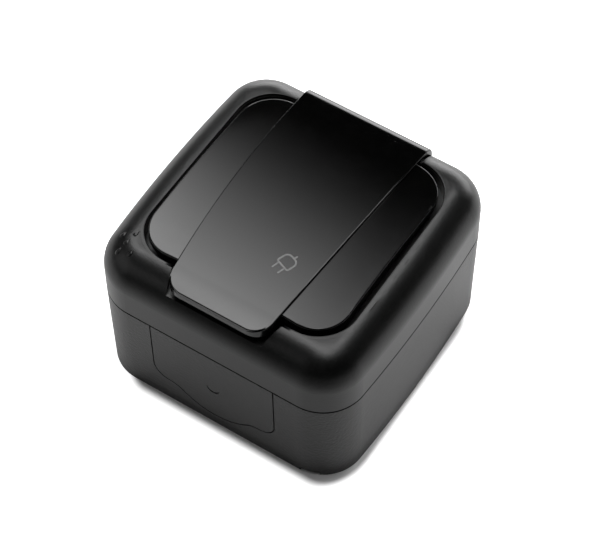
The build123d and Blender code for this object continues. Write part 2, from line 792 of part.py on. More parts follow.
with BuildPart() as threaded_insert:
    with BuildSketch(Plane.XY.offset(plate_bottom)):
        RegularPolygon(insert_radius, 6)
        Circle(face_screw_radius + screw_fit, mode=Mode.SUBTRACT)
    extrude(amount=-insert_length)
threaded_insert.part.label = "threaded_insert"
export_step(threaded_insert.part, "parts/threaded_insert.step")

# Terminal block with two contact chambers and two terminal wells
terminal_points = [(-pin_place, -terminal_back), (pin_place, -terminal_back)]
well_front = -block_length / 2
chamber_back = contact_width / 2 + screw_fit
with BuildPart() as terminal_block:
    with BuildSketch(Plane.XY.offset(block_bottom)):
        RectangleRounded(block_width, block_length, block_corner)
    extrude(amount=plate_bottom - block_bottom)
    for side in (-1, 1):
        with BuildSketch(Plane.XY.offset(chamber_bottom)):
            with Locations((side * pin_place, (chamber_back + well_front) / 2)):
                Rectangle(chamber_width, chamber_back - well_front)
        extrude(amount=plate_bottom - chamber_bottom, mode=Mode.SUBTRACT)
    with BuildSketch(Plane.XY.offset(plate_bottom)):
        RegularPolygon(insert_radius, 6)
    extrude(amount=-insert_length, mode=Mode.SUBTRACT)
    with BuildSketch(Plane.XY.offset(block_bottom)):
        Circle(rivet_radius)
    extrude(amount=rivet_length - strip_thickness, mode=Mode.SUBTRACT)
terminal_block.part.label = "terminal_block"
export_step(terminal_block.part, "parts/terminal_block.step")

# Spring contacts: two leaves that grip the plug pin, and a tail under the terminal clamp
contact_top = plate_bottom - contact_drop
contact_tail = -terminal_back - clamp_size / 2
contact_span = contact_grip + 2 * contact_thickness
for side, label in ((-1, "left_contact"), (1, "right_contact")):
    with BuildPart() as contact:
        with BuildSketch(Plane.XY.offset(chamber_bottom)):
            with Locations((side * pin_place, (contact_width / 2 + contact_tail) / 2)):
                Rectangle(contact_span, contact_width / 2 - contact_tail)
            with Locations((side * pin_place, -terminal_back)):
                Circle(face_screw_radius + screw_fit, mode=Mode.SUBTRACT)
            with Locations((side * pin_place, 0)):
                Circle(contact_tip_radius, mode=Mode.SUBTRACT)
        extrude(amount=contact_thickness)
        with BuildSketch(Plane.XY.offset(chamber_bottom)):
            with Locations((side * pin_place, 0)):
                Rectangle(contact_span, contact_width)
                Rectangle(contact_grip, contact_width, mode=Mode.SUBTRACT)
        extrude(amount=contact_top - chamber_bottom)
    contact.part.label = label
    export_step(contact.part, f"parts/{label}.step")

# Earth bracket: a strip under the block whose ends rise beside the recess and bend in through its slots
clip_top = face_top - clip_drop - strip_thickness
clip_bend = recess_floor + earth_slot_bottom + strip_thickness
clip_middle = (clip_top + clip_bend) / 2
clip_point = cup_radius - clip_reach
with BuildPart() as earth_bracket:
    with BuildSketch(Plane.YZ):
        with BuildLine() as half_strip:
            Polyline((0, strip_bottom), (clip_y + strip_thickness, strip_bottom),
                     (clip_y + strip_thickness, clip_bend), (clip_point + strip_thickness, clip_middle),
                     (clip_y + strip_thickness, clip_top), (clip_y, clip_top), (clip_point, clip_middle),
                     (clip_y, clip_bend), (clip_y, block_bottom), (0, block_bottom))
            mirror(about=Plane.YZ)
        make_face()
    extrude(amount=strip_width / 2, both=True)
    with BuildSketch(Plane.XY.offset(strip_bottom)):
        Circle(rivet_radius)
        with Locations((0, earth_terminal)):
            Circle(face_screw_radius + screw_fit)
    extrude(amount=strip_thickness, mode=Mode.SUBTRACT)
earth_bracket.part.label = "earth_bracket"
export_step(earth_bracket.part, "parts/earth_bracket.step")

with BuildPart() as earth_rivet:
    with BuildSketch(Plane.XY.offset(strip_bottom)):
        Circle(rivet_head_radius)
    extrude(amount=-rivet_head_height)
    chamfer(earth_rivet.edges().group_by(Axis.Z)[0], rivet_head_height / 2)
    with BuildSketch(Plane.XY.offset(strip_bottom)):
        Circle(rivet_radius)
    extrude(amount=rivet_length)
earth_rivet.part.label = "earth_rivet"
export_step(earth_rivet.part, "parts/earth_rivet.step")

# Wire clamps and their screws at the two contacts and on the earth bracket
clamp_rise = contact_thickness + clamp_opening
earth_points = [(0, earth_terminal)]
with BuildPart() as terminal_clamps:
    add(clamp_plates(terminal_points, chamber_bottom + clamp_rise))
    add(clamp_plates(earth_points, block_bottom + clamp_opening))
terminal_clamps.part.label = "terminal_clamps"
export_step(terminal_clamps.part, "parts/terminal_clamps.step")

terminal_grip = clamp_thickness + clamp_opening + contact_thickness
with BuildPart() as terminal_screws:
    add(slotted_screws(terminal_points, chamber_bottom + clamp_rise + clamp_thickness, face_screw_radius,
                       terminal_grip, clamp_size / 2 - screw_fit, screw_head_height))
    add(slotted_screws(earth_points, block_bottom + clamp_opening + clamp_thickness, face_screw_radius,
                       terminal_grip, clamp_size / 2 - screw_fit, screw_head_height))
terminal_screws.part.label = "terminal_screws"
export_step(terminal_screws.part, "parts/terminal_screws.step")
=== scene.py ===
import json
import math
import bmesh
import bpy
import numpy as np
from mathutils import Matrix, Vector


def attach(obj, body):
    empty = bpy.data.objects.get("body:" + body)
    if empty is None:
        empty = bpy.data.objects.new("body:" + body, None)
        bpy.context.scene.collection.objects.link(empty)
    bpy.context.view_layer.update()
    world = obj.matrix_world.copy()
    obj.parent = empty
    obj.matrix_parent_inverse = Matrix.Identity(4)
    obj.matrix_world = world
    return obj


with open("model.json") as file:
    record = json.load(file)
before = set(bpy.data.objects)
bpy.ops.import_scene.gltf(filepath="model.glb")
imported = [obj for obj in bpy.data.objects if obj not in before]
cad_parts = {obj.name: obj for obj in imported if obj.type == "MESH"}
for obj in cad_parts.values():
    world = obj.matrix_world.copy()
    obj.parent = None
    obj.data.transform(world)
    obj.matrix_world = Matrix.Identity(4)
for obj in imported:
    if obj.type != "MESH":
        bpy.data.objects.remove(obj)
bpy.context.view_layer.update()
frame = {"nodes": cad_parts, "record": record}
nodes = frame["nodes"]
scene = bpy.context.scene
scene.view_settings.view_transform = "Standard"
mm = 0.001
white = (1.0, 1.0, 1.0, 1.0)
print("frame loaded:", len(nodes), "nodes")

# camera of the photo, aimed at a point inside the box: metres, degrees, lens in mm
cameraSet = {
    "target": (0.0, 0.0, 0.025),
    "azimuth": 33.56,
    "elevation": 55.09,
    "roll": -0.81,
    "distance": 0.5891,
    "sensor": 36.0,
    "lens": 137.74,
    "shift": (0.0096, -0.02336),
    "clip": (0.01, 20.0),
}


def addCamera(c):
    az, el, roll = (math.radians(c[k]) for k in ("azimuth", "elevation", "roll"))
    back = Vector((math.sin(az) * math.cos(el), -math.cos(az) * math.cos(el), math.sin(el)))
    right = Vector((math.cos(az), math.sin(az), 0.0))
    up = back.cross(right)
    sideways = math.cos(roll) * right + math.sin(roll) * up
    upwards = math.cos(roll) * up - math.sin(roll) * right
    data = bpy.data.cameras.new("photoCamera")
    data.sensor_width = c["sensor"]
    data.lens = c["lens"]
    data.shift_x, data.shift_y = c["shift"]
    data.clip_start, data.clip_end = c["clip"]
    cam = bpy.data.objects.new("photoCamera", data)
    turn = Matrix((sideways, upwards, back)).transposed().to_4x4()
    cam.matrix_world = Matrix.Translation(Vector(c["target"]) + back * c["distance"]) @ turn
    scene.collection.objects.link(cam)
    scene.camera = cam


addCamera(cameraSet)
print("camera set")


def newMaterial(name):
    mat = bpy.data.materials.new(name)
    mat.use_nodes = True
    return mat, mat.node_tree, mat.node_tree.nodes["Principled BSDF"]


def addNode(tree, kind, **values):
    node = tree.nodes.new("ShaderNode" + kind)
    for key, value in values.items():
        setattr(node, key, value)
    return node


def setInputs(node, values):
    for key, value in values.items():
        node.inputs[key].default_value = value


# numbers and colours are set on the socket, sockets are linked to it
def feed(tree, socket, value):
    if isinstance(value, (int, float, tuple)):
        socket.default_value = value
    else:
        tree.links.new(value, socket)


def mathNode(tree, operation, *values):
    node = addNode(tree, "Math", operation=operation)
    for socket, value in zip(node.inputs, values):
        feed(tree, socket, value)
    return node.outputs[0]


# first times its weight, plus second times its weight
def weightedSum(tree, first, second, weights):
    rest = mathNode(tree, "MULTIPLY", second, weights[1])
    return mathNode(tree, "MULTIPLY_ADD", first, weights[0], rest)


def rampNode(tree, value, fromLow, fromHigh, toLow, toHigh, smooth=False):
    node = addNode(tree, "MapRange", interpolation_type="SMOOTHSTEP" if smooth else "LINEAR")
    setInputs(node, {"From Min": fromLow, "From Max": fromHigh, "To Min": toLow, "To Max": toHigh})
    tree.links.new(value, node.inputs["Value"])
    return node.outputs["Result"]


def mixColor(tree, factor, a, b):
    node = addNode(tree, "Mix", data_type="RGBA")
    tree.links.new(factor, node.inputs["Factor"])
    feed(tree, node.inputs[6], a)   # the colour sockets of the Mix node
    feed(tree, node.inputs[7], b)
    return node.outputs[2]


def splitVector(tree, vector):
    node = addNode(tree, "SeparateXYZ")
    tree.links.new(vector, node.inputs[0])
    return node.outputs


# studio: pale paper floor that the camera sees as white, and a dim dome, in metres
studioSet = {
    "floorColor": (0.9, 0.9, 0.9, 1.0),
    "floorRough": 0.9,
    "floorSize": 6.0,
    "cameraLift": 1.0,
    "glossLift": (0.18, 0.36),     # seen in the plastic: in front, and to the right and back
    "glossWay": (0.6, 0.8),
    "glossReach": (-0.03, 0.05),
    "footCentre": (0.004, -0.004),
    "footHalf": (0.02513, 0.022),  # straight part of the footprint
    "footScale": (1.4, 1.0),       # the shade is narrower at the sides
    "footCorner": 0.012,
    "contact": 0.0029,             # width of the shade under the front edge
    "paintedShadeColor": (0.1, 0.1, 0.1, 1.0),   # painted shade: the paper's colour darkens away from the front walls
    "paintedShadeWay": (-0.5, 0.87),
    "paintedShadeReach": (-0.19, -0.03),
    "dome": 0.004,                 # overhead
    "horizon": 0.2,
    "domeReach": (0.0, 0.15),      # sine of the angle over the horizon
}


def addFloor(s):
    half = s["floorSize"] / 2
    corners = [(-half, -half, 0), (half, -half, 0), (half, half, 0), (-half, half, 0)]
    mesh = bpy.data.meshes.new("floor")
    mesh.from_pydata(corners, [], [(0, 1, 2, 3)])
    floor = bpy.data.objects.new("floor", mesh)
    scene.collection.objects.link(floor)
    mat, tree, shader = newMaterial("floorPaper")
    setInputs(shader, {"Roughness": s["floorRough"], "Specular IOR Level": 0.0,
                       "Emission Color": white})
    # distance from the footprint, a rectangle with round corners
    place = splitVector(tree, addNode(tree, "TexCoord").outputs["Object"])
    over = []
    for axis, centre, reach, scale in zip("XY", s["footCentre"], s["footHalf"], s["footScale"]):
        offset = mathNode(tree, "SUBTRACT", place[axis], centre)
        beyond = mathNode(tree, "SUBTRACT", mathNode(tree, "ABSOLUTE", offset), reach)
        over.append(mathNode(tree, "MULTIPLY", mathNode(tree, "MAXIMUM", beyond, 0.0), scale))
    radius = mathNode(tree, "SQRT", weightedSum(tree, *over, over))
    away = mathNode(tree, "SUBTRACT", radius, s["footCorner"])
    clear = rampNode(tree, away, 0.0, s["contact"], 0.0, 1.0, True)
    shadeAlong, glossAlong = (weightedSum(tree, place["X"], place["Y"], way)
                            for way in (s["paintedShadeWay"], s["glossWay"]))
    # painted shade: the floor's colour goes dark towards the front and right, where the room is dim
    near = rampNode(tree, shadeAlong, *s["paintedShadeReach"], 0.0, 1.0, True)
    gloss = rampNode(tree, glossAlong, *s["glossReach"], *s["glossLift"], True)
    paper = mixColor(tree, near, s["paintedShadeColor"], s["floorColor"])
    tree.links.new(paper, shader.inputs["Base Color"])
    # the white lift stops under the edge, where the shade shows
    ray = addNode(tree, "LightPath").outputs
    shiny = mathNode(tree, "MAXIMUM", ray["Is Glossy Ray"], ray["Is Transmission Ray"])
    seen = mathNode(tree, "MULTIPLY", ray["Is Camera Ray"], s["cameraLift"])
    lift = mathNode(tree, "MAXIMUM", seen, mathNode(tree, "MULTIPLY", shiny, gloss))
    tree.links.new(mathNode(tree, "MULTIPLY", lift, clear), shader.inputs["Emission Strength"])
    mesh.materials.append(mat)


def addWorld(s):
    world = bpy.data.worlds.new("studio")
    scene.world = world
    world.use_nodes = True
    tree = world.node_tree
    background = tree.nodes["Background"]
    setInputs(background, {"Color": white})
    sky = splitVector(tree, addNode(tree, "TexCoord").outputs["Generated"])
    dome = rampNode(tree, sky["Z"], *s["domeReach"], s["horizon"], s["dome"], True)
    ray = addNode(tree, "LightPath").outputs
    tree.links.new(mathNode(tree, "MAXIMUM", ray["Is Camera Ray"], dome),
                   background.inputs["Strength"])


# softboxes: the key hangs level over the lid and dims towards the back in strips, in metres
lampSet = {
    "keySpin": -0.45,              # radians
    "keyHeight": 0.67,
    "keyReach": (-0.83, 0.19),     # along a strip
    "keyStart": -0.06,             # front edge of the first strip
    "keyStep": 0.02,               # width of a strip
    "keyCount": 27,
    "keyAcross": (-0.06, 0.0, 0.04, 0.08, 0.12, 0.16, 0.2,
                  0.24, 0.28, 0.32, 0.36, 0.4, 0.44, 0.48),
    "keyRadiance": (6.2, 5.7, 4.75, 3.75, 2.95, 2.28, 1.68,
                    1.18, 0.78, 0.47, 0.26, 0.13, 0.05, 0.01),
    "panels": {   # place, aim, size, radiance, spread in degrees
        "rightSoftbox": ((0.1, 0.34, 0.62), (0.1, 0.34, 0), (0.15, 0.34), 5.2, 180),
        "fillSoftbox": ((-0.75, -0.62, 0.62), (0, 0, 0.04), (0.9, 0.7), 0.6, 180),
        "backPanel": ((-0.5, 1.6, 0.32), (-0.5, 0, 0.32), (2.4, 0.64), 4.0, 180),
        "floorLamp": ((-0.3, 0.75, 0.32), (-0.3, 0.75, 0), (0.9, 0.5), 6.0, 120),
    },
}


def addLamp(name, turn, place, size, radiance, spread=180):
    data = bpy.data.lights.new(name, "AREA")
    data.shape = "RECTANGLE"
    data.size, data.size_y = size
    data.spread = math.radians(spread)
    data.energy = radiance * math.pi * size[0] * size[1]
    lamp = bpy.data.objects.new(name, data)
    lamp.matrix_world = Matrix.Translation(place) @ turn
    scene.collection.objects.link(lamp)


def addLamps(s):
    turn = Matrix.Rotation(s["keySpin"], 4, "Z")
    (left, right), width = s["keyReach"], s["keyStep"]
    across = s["keyStart"] + (np.arange(s["keyCount"]) + 0.5) * width
    strengths = np.interp(across, s["keyAcross"], s["keyRadiance"])
    for i, (reach, radiance) in enumerate(zip(across, strengths)):
        place = turn @ Vector(((left + right) / 2, reach, s["keyHeight"]))
        addLamp(f"keyStrip{i}", turn, place, (right - left, width), radiance)
    for name, (place, aim, size, radiance, spread) in s["panels"].items():
        toLamp = Vector(place) - Vector(aim)
        facing = toLamp.to_track_quat("Z", "Y").to_matrix().to_4x4()
        addLamp(name, facing, Vector(place), size, radiance, spread)


addFloor(studioSet)
addWorld(studioSet)
addLamps(lampSet)
print("studio lit")


# shared effects, built once and placed in each finish with its own values
def newGroup(name, inputs, outputs):
    tree = bpy.data.node_groups.new(name, "ShaderNodeTree")
    for key, default in inputs.items():
        socket = tree.interface.new_socket(key, in_out="INPUT", socket_type="NodeSocketFloat")
        socket.default_value = default
    for key in outputs:
        tree.interface.new_socket(key, in_out="OUTPUT", socket_type="NodeSocketFloat")
    ends = tree.nodes.new("NodeGroupInput"), tree.nodes.new("NodeGroupOutput")
    return tree, ends[0].outputs, ends[1].inputs


def noiseValue(tree, vector, scale, detail, rough=0.5):
    noise = addNode(tree, "TexNoise")
    setInputs(noise, {"Detail": detail, "Roughness": rough})
    tree.links.new(vector, noise.inputs["Vector"])
    feed(tree, noise.inputs["Scale"], scale)
    return noise.outputs["Fac"]


# fine spark-eroded grain, and slow cloudy changes from the moulding
grainSet = {"detail": 2.0, "rough": 0.6, "cloudDetail": 3.0, "cloudSize": 18}   # in grains


def makeMouldGrain(s):
    inputs = {"Grain Scale": 2200, "Cloud Scale": 120}
    tree, ins, outs = newGroup("mouldGrain", inputs, ("Grain", "Cloud"))
    coord = addNode(tree, "TexCoord").outputs["Object"]
    grain = noiseValue(tree, coord, ins["Grain Scale"], s["detail"], s["rough"])
    tree.links.new(grain, outs["Grain"])
    tree.links.new(noiseValue(tree, coord, ins["Cloud Scale"], s["cloudDetail"]), outs["Cloud"])
    return tree


# dust on surfaces that face up: a thin film, and specks in some of the cells of a Voronoi pattern
dustSet = {
    "color": (0.16, 0.16, 0.155, 1.0),
    "cells": 300,
    "reach": 0.1,                  # size of a speck in its cell
    "sizeNoise": 900,
    "filmNoise": 260,
    "filmDetail": 4.0,
    "filmRough": 0.65,
    "filmReach": (0.42, 0.75),
    "smear": 0.35,                 # how much the film dulls the gloss
}


def makeDustSpecks(s):
    inputs = {"Cell Scale": s["cells"], "Share": 0.1, "Reach": s["reach"]}
    tree, ins, outs = newGroup("dustSpecks", inputs, ("Specks", "Film"))
    coord = addNode(tree, "TexCoord").outputs["Object"]
    cells = addNode(tree, "TexVoronoi")
    tree.links.new(coord, cells.inputs["Vector"])
    tree.links.new(ins["Cell Scale"], cells.inputs["Scale"])
    draw = mathNode(tree, "FRACT", cells.outputs["Color"])
    picked = mathNode(tree, "LESS_THAN", draw, ins["Share"])
    size = mathNode(tree, "MULTIPLY", noiseValue(tree, coord, s["sizeNoise"], 1.0), ins["Reach"])
    dot = mathNode(tree, "LESS_THAN", cells.outputs["Distance"], size)
    normal = splitVector(tree, addNode(tree, "NewGeometry").outputs["Normal"])
    up = mathNode(tree, "MAXIMUM", normal["Z"], 0.0)
    specks = mathNode(tree, "MULTIPLY", mathNode(tree, "MULTIPLY", picked, dot), up)
    tree.links.new(specks, outs["Specks"])
    haze = noiseValue(tree, coord, s["filmNoise"], s["filmDetail"], s["filmRough"])
    film = rampNode(tree, haze, *s["filmReach"], 0.0, 1.0, True)
    tree.links.new(mathNode(tree, "MULTIPLY", film, up), outs["Film"])
    return tree


# drawn or rolled streaks along X, and dull patches
streakSet = {"across": 3500, "detail": 2.0, "patchNoise": 380, "patchDetail": 4.0}


def makeDrawnStreaks(s):
    inputs = {"Along": 60, "Across": s["across"]}
    tree, ins, outs = newGroup("drawnStreaks", inputs, ("Streaks", "Patches"))
    coord = addNode(tree, "TexCoord").outputs["Object"]
    scale = addNode(tree, "CombineXYZ")
    for axis, key in (("X", "Along"), ("Y", "Across"), ("Z", "Across")):
        tree.links.new(ins[key], scale.inputs[axis])
    stretched = addNode(tree, "VectorMath", operation="MULTIPLY")
    tree.links.new(coord, stretched.inputs[0])
    tree.links.new(scale.outputs[0], stretched.inputs[1])
    streaks = noiseValue(tree, stretched.outputs[0], 1.0, s["detail"])
    tree.links.new(streaks, outs["Streaks"])
    tree.links.new(noiseValue(tree, coord, s["patchNoise"], s["patchDetail"]), outs["Patches"])
    return tree


mouldGrain = makeMouldGrain(grainSet)
dustSpecks = makeDustSpecks(dustSet)
drawnStreaks = makeDrawnStreaks(streakSet)


def placeGroup(tree, group, values):
    node = tree.nodes.new("ShaderNodeGroup")
    node.node_tree = group
    setInputs(node, values)
    return node.outputs


def addBump(tree, shader, height, distance):
    bump = addNode(tree, "Bump")
    setInputs(bump, {"Strength": 1.0, "Distance": distance})
    tree.links.new(height, bump.inputs["Height"])
    tree.links.new(bump.outputs["Normal"], shader.inputs["Normal"])


# moulded plastics and rubber, and a black with no gloss for the painted shade in the joint: dark
# and pale tone, roughness range, grain scale and depth in metres, share of the cells with a speck
# of dust
plasticSet = {
    "boxPlastic": {"tone": (0.0008, 0.0125), "rough": (0.33, 0.41),
                   "grain": 1350, "depth": 1.0e-4, "share": 0.05},
    "coverPlastic": {"tone": (0.0024, 0.0068), "rough": (0.31, 0.36),
                     "grain": 1500, "depth": 2e-5, "share": 0.10},
    "lidPlastic": {"tone": (0.0001, 0.0003), "rough": (0.12, 0.15),
                   "grain": 1800, "depth": 1.5e-6, "share": 0.03},
    "socketPlastic": {"tone": (0.013, 0.021), "rough": (0.34, 0.44),
                      "grain": 2600, "depth": 4e-6, "share": 0.04},
    "blockPlastic": {"tone": (0.46, 0.56), "rough": (0.40, 0.52),
                     "grain": 2000, "depth": 6e-6, "share": 0.0, "tint": (1.0, 0.97, 0.88)},
    "sealRubber": {"tone": (0.008, 0.016), "rough": (0.62, 0.80),
                   "grain": 1600, "depth": 9e-6, "share": 0.08},
    # painted shade: black with no gloss, for the strip that darkens the joint between box and cover
    "seamShadeBlack": {"tone": (0.0008, 0.0016), "rough": (0.8, 0.9),
                    "grain": 1600, "depth": 9e-6, "share": 0.0, "gloss": 0.0},
    "signPaint": {"tone": (0.17, 0.21), "rough": (0.30, 0.40),
                  "grain": 3600, "depth": 1e-6, "share": 0.0},
}
plasticMix = {
    "grainCloud": (0.7, 0.3),
    "toneReach": (0.35, 0.65),
    "roughReach": (0.35, 0.85),
    "tint": (1.0, 1.0, 1.0),
    "gloss": 0.5,
}


def makePlastic(name, s):
    mat, tree, shader = newMaterial(name)
    s = {**plasticMix, **s}
    clouds = s["grain"] / grainSet["cloudSize"]
    grain = placeGroup(tree, mouldGrain, {"Grain Scale": s["grain"], "Cloud Scale": clouds})
    dust = placeGroup(tree, dustSpecks, {"Share": s["share"]})
    dark, pale = (tuple(tone * c for c in s["tint"]) + (1.0,) for tone in s["tone"])
    blend = weightedSum(tree, grain["Grain"], grain["Cloud"], s["grainCloud"])
    color = mixColor(tree, rampNode(tree, blend, *s["toneReach"], 0.0, 1.0), dark, pale)
    if s["share"]:
        color = mixColor(tree, dust["Specks"], color, dustSet["color"])
    tree.links.new(color, shader.inputs["Base Color"])
    smear = mathNode(tree, "MULTIPLY_ADD", dust["Film"], dustSet["smear"], blend)
    rough = rampNode(tree, smear, *s["roughReach"], *s["rough"])
    tree.links.new(rough, shader.inputs["Roughness"])
    setInputs(shader, {"Specular IOR Level": s["gloss"]})
    addBump(tree, shader, grain["Grain"], s["depth"])
    return mat


# bare and plated metals: colour, roughness range, scale along the streaks, their depth in metres
metalSet = {
    "pinSteel": {"color": (0.56, 0.56, 0.57), "rough": (0.20, 0.34),
                 "along": 40, "depth": 1.5e-6},
    "springSteel": {"color": (0.44, 0.44, 0.45), "rough": (0.26, 0.40),
                    "along": 200, "depth": 2e-6},
    "platedSteel": {"color": (0.62, 0.62, 0.60), "rough": (0.28, 0.44),
                    "along": 900, "depth": 2e-6},
    "brass": {"color": (0.72, 0.55, 0.26), "rough": (0.24, 0.40),
              "along": 300, "depth": 1.5e-6},
}
metalMix = {
    "worn": 0.72,                  # darkest tone, as a share of the colour
    "streakPatch": (0.4, 0.6),
    "toneReach": (0.38, 0.58),
    "roughReach": (0.35, 0.65),
}


def makeMetal(name, s):
    mat, tree, shader = newMaterial(name)
    s = {**metalMix, **s}
    drawn = placeGroup(tree, drawnStreaks, {"Along": s["along"]})
    worn, bright = (tuple(share * c for c in s["color"]) + (1.0,) for share in (s["worn"], 1.0))
    blend = weightedSum(tree, drawn["Streaks"], drawn["Patches"], s["streakPatch"])
    color = mixColor(tree, rampNode(tree, blend, *s["toneReach"], 0.0, 1.0), worn, bright)
    tree.links.new(color, shader.inputs["Base Color"])
    rough = rampNode(tree, drawn["Patches"], *s["roughReach"], *reversed(s["rough"]))
    tree.links.new(rough, shader.inputs["Roughness"])
    setInputs(shader, {"Metallic": 1.0})
    addBump(tree, shader, drawn["Streaks"], s["depth"])
    return mat


finishes = {name: makePlastic(name, s) for name, s in plasticSet.items()}
finishes.update({name: makeMetal(name, s) for name, s in metalSet.items()})
slotFinish = {
    "housing_plastic": "boxPlastic",
    "cover_plastic": "coverPlastic",
    "lid_plastic": "lidPlastic",
    "socket_plastic": "socketPlastic",
    "block_plastic": "blockPlastic",
    "seal_rubber": "sealRubber",
    "pin_steel": "pinSteel",
    "spring_steel": "springSteel",
    "plated_steel": "platedSteel",
    "brass": "brass",
}
for part in frame["record"]["subparts"]:
    mesh = nodes[part["node"]].data
    mesh.materials.clear()
    mesh.materials.append(finishes[slotFinish[part["material_slot"]]])
print("finishes set:", len(finishes))


# quads between neighbouring rings of a tube, all rings with as many points
def tubeFaces(count, around, loop, first):
    rows = np.arange(count if loop else count - 1)
    i, j = np.meshgrid(rows, np.arange(around), indexing="ij")
    nextI, nextJ = (i + 1) % count, (j + 1) % around
    quads = np.stack([i * around + j, nextI * around + j,
                      nextI * around + nextJ, i * around + nextJ], -1)
    return (quads.reshape(-1, 4) + first).tolist()


# triangles from one ring to its pole
def capFaces(around, ring, pole, first):
    j = np.arange(around)
    start = ring * around + first
    return np.stack([start + j, start + (j + 1) % around, np.full(around, pole)], -1).tolist()


# a piece from several tubes, each an array of rings in mm, closed on itself or by two poles
def addTubes(name, tubes, finish, body):
    points, faces = [], []
    for rings, loop in tubes:
        count, around = rings.shape[:2]
        first = sum(len(p) for p in points)
        points.append(rings.reshape(-1, 3))
        faces += tubeFaces(count, around, loop, first)
        if not loop:
            points.append(np.stack([rings[0].mean(0), rings[-1].mean(0)]))
            pole = first + count * around
            faces += capFaces(around, 0, pole, first)
            faces += capFaces(around, count - 1, pole + 1, first)
    mesh = bpy.data.meshes.new(name)
    mesh.from_pydata((np.concatenate(points) * mm).tolist(), [], faces)
    shell = bmesh.new()
    shell.from_mesh(mesh)
    bmesh.ops.recalc_face_normals(shell, faces=shell.faces)
    shell.to_mesh(mesh)
    shell.free()
    mesh.shade_smooth()
    mesh.materials.append(finishes[finish])
    piece = bpy.data.objects.new(name, mesh)
    scene.collection.objects.link(piece)
    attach(piece, body)


# plan points turned about the origin, anticlockwise
def turnPlan(points, degrees):
    a = math.radians(degrees)
    return points @ np.array([[math.cos(a), math.sin(a)], [-math.sin(a), math.cos(a)]])


# plug sign on the band: strokes with a half-round section, in mm, in the sign's own axes
signSet = {
    "centre": (7.62, -16.91),
    "tilt": -20.2,
    "strokeWidth": 0.50,
    "strokeHeight": 0.03,
    "under": 0.8,                  # depth below the crown, as a share of the height
    "tip": 0.05,                   # smallest share of the round end that is kept
    "around": 16,
    "strokeSteps": 24,
    "cornerSteps": 14,
    "body": (-1.88, 2.12, 0.0, 3.42),         # left, right, low, high
    "bodyCorners": (0.55, 1.35, 1.35, 0.55),  # low right, high right, high left, low left
    "strokes": (((-1.1, -2.3), (-1.1, -0.2)),
                ((1.15, -2.3), (1.15, -0.2)),
                ((0.4, 3.45), (0.4, 4.6))),
}
crownSet = {"apex": -5.7, "top": 51.95, "radius": 245.0}


# height of the band's crown, an arc along Y
def crownHeight(y):
    c = crownSet
    return c["top"] - c["radius"] + np.sqrt(c["radius"] ** 2 - (y - c["apex"]) ** 2)


# stroke: a flat ellipse carried along a plan path, its ends rounded off by a quarter circle
def crownStroke(path, loop, s):
    half = s["strokeWidth"] / 2
    along = np.roll(path, -1, 0) - np.roll(path, 1, 0) if loop else np.gradient(path, axis=0)
    along = along / np.linalg.norm(along, axis=1, keepdims=True)
    across = np.stack([-along[:, 1], along[:, 0]], -1)
    taper = np.ones(len(path))
    if not loop:
        run = np.linalg.norm(path - path[0], axis=1)
        near = np.clip(np.minimum(run, run[-1] - run) / half, s["tip"], 1.0)
        taper = np.sqrt(1 - (1 - near) ** 2)
    turn = np.linspace(0, 2 * np.pi, s["around"], endpoint=False)
    side = np.cos(turn)[None, :] * taper[:, None] * half
    arch = np.where(np.sin(turn) > 0, np.sin(turn), s["under"] * np.sin(turn))
    rise = arch[None, :] * taper[:, None] * s["strokeHeight"]
    plan = path[:, None, :] + across[:, None, :] * side[..., None]
    return np.concatenate([plan, (crownHeight(plan[..., 1]) + rise)[..., None]], -1), loop


# rounded rectangle from four corner arcs, walked round once
def roundedPath(left, right, low, high, corners, steps):
    spots = ((right, low, -1, 1, -90), (right, high, -1, -1, 0),
             (left, high, 1, -1, 90), (left, low, 1, 1, 180))
    runs = []
    for (x, y, inX, inY, start), r in zip(spots, corners):
        turn = np.radians(np.linspace(start, start + 90, steps))
        arc = [x + inX * r + r * np.cos(turn), y + inY * r + r * np.sin(turn)]
        runs.append(np.stack(arc, -1))
    return np.concatenate(runs)


# the sign: a closed outline and three straight strokes, turned and moved on to the band
def signTubes(s):
    paths = [(roundedPath(*s["body"], s["bodyCorners"], s["cornerSteps"]), True)]
    paths += [(np.linspace(a, b, s["strokeSteps"]), False) for a, b in s["strokes"]]
    centre = np.array(s["centre"])
    return [crownStroke(turnPlan(path, s["tilt"]) + centre, loop, s) for path, loop in paths]


# outside of the cover, in mm: two bowed sides, round corners and a round top edge
coverSet = {
    "half": (38.2, 38.0),
    "bow": 1.75,
    "cornerCentre": (25.357, 26.0),
    "corner": 12.0,
    "round": 9.0,
    "top": 48.2,
}


# height of the cover: flat on top, a quarter circle near the wall
def coverHeight(x, y, s=coverSet):
    x, y = np.abs(x), np.abs(y)
    sideX = s["half"][0] - s["bow"] * (y / s["half"][1]) ** 2 - x
    sideY = s["half"][1] - y
    dx, dy = x - s["cornerCentre"][0], y - s["cornerCentre"][1]
    inCorner = s["corner"] - np.hypot(dx, dy)
    inside = np.where((dx > 0) & (dy > 0), inCorner, np.minimum(sideX, sideY))
    fall = np.clip(s["round"] - inside, 0, s["round"])
    return s["top"] - s["round"] + np.sqrt(s["round"] ** 2 - fall ** 2)


# raised drops on the corner of the cover, in mm
dropSet = {
    "places": ((-32.2, -27.6), (-29.9, -29.3), (-27.2, -31.6), (-30.6, -32.0), (-29.2, -26.2)),
    "width": 1.35,
    "length": 2.1,
    "height": 0.24,
    "sink": 0.08,                  # underside below the cover's surface
    "turn": -18.0,
    "point": 1.4,                  # a larger power gives a longer tip
    "fullness": 1.3,
    "dome": 2.6,                   # a larger power gives a flatter top
    "middle": 0.06,                # reach of the innermost ring
    "underMiddle": 0.1,
    "around": 40,
    "rings": 12,
    "slopeStep": 0.01,
}


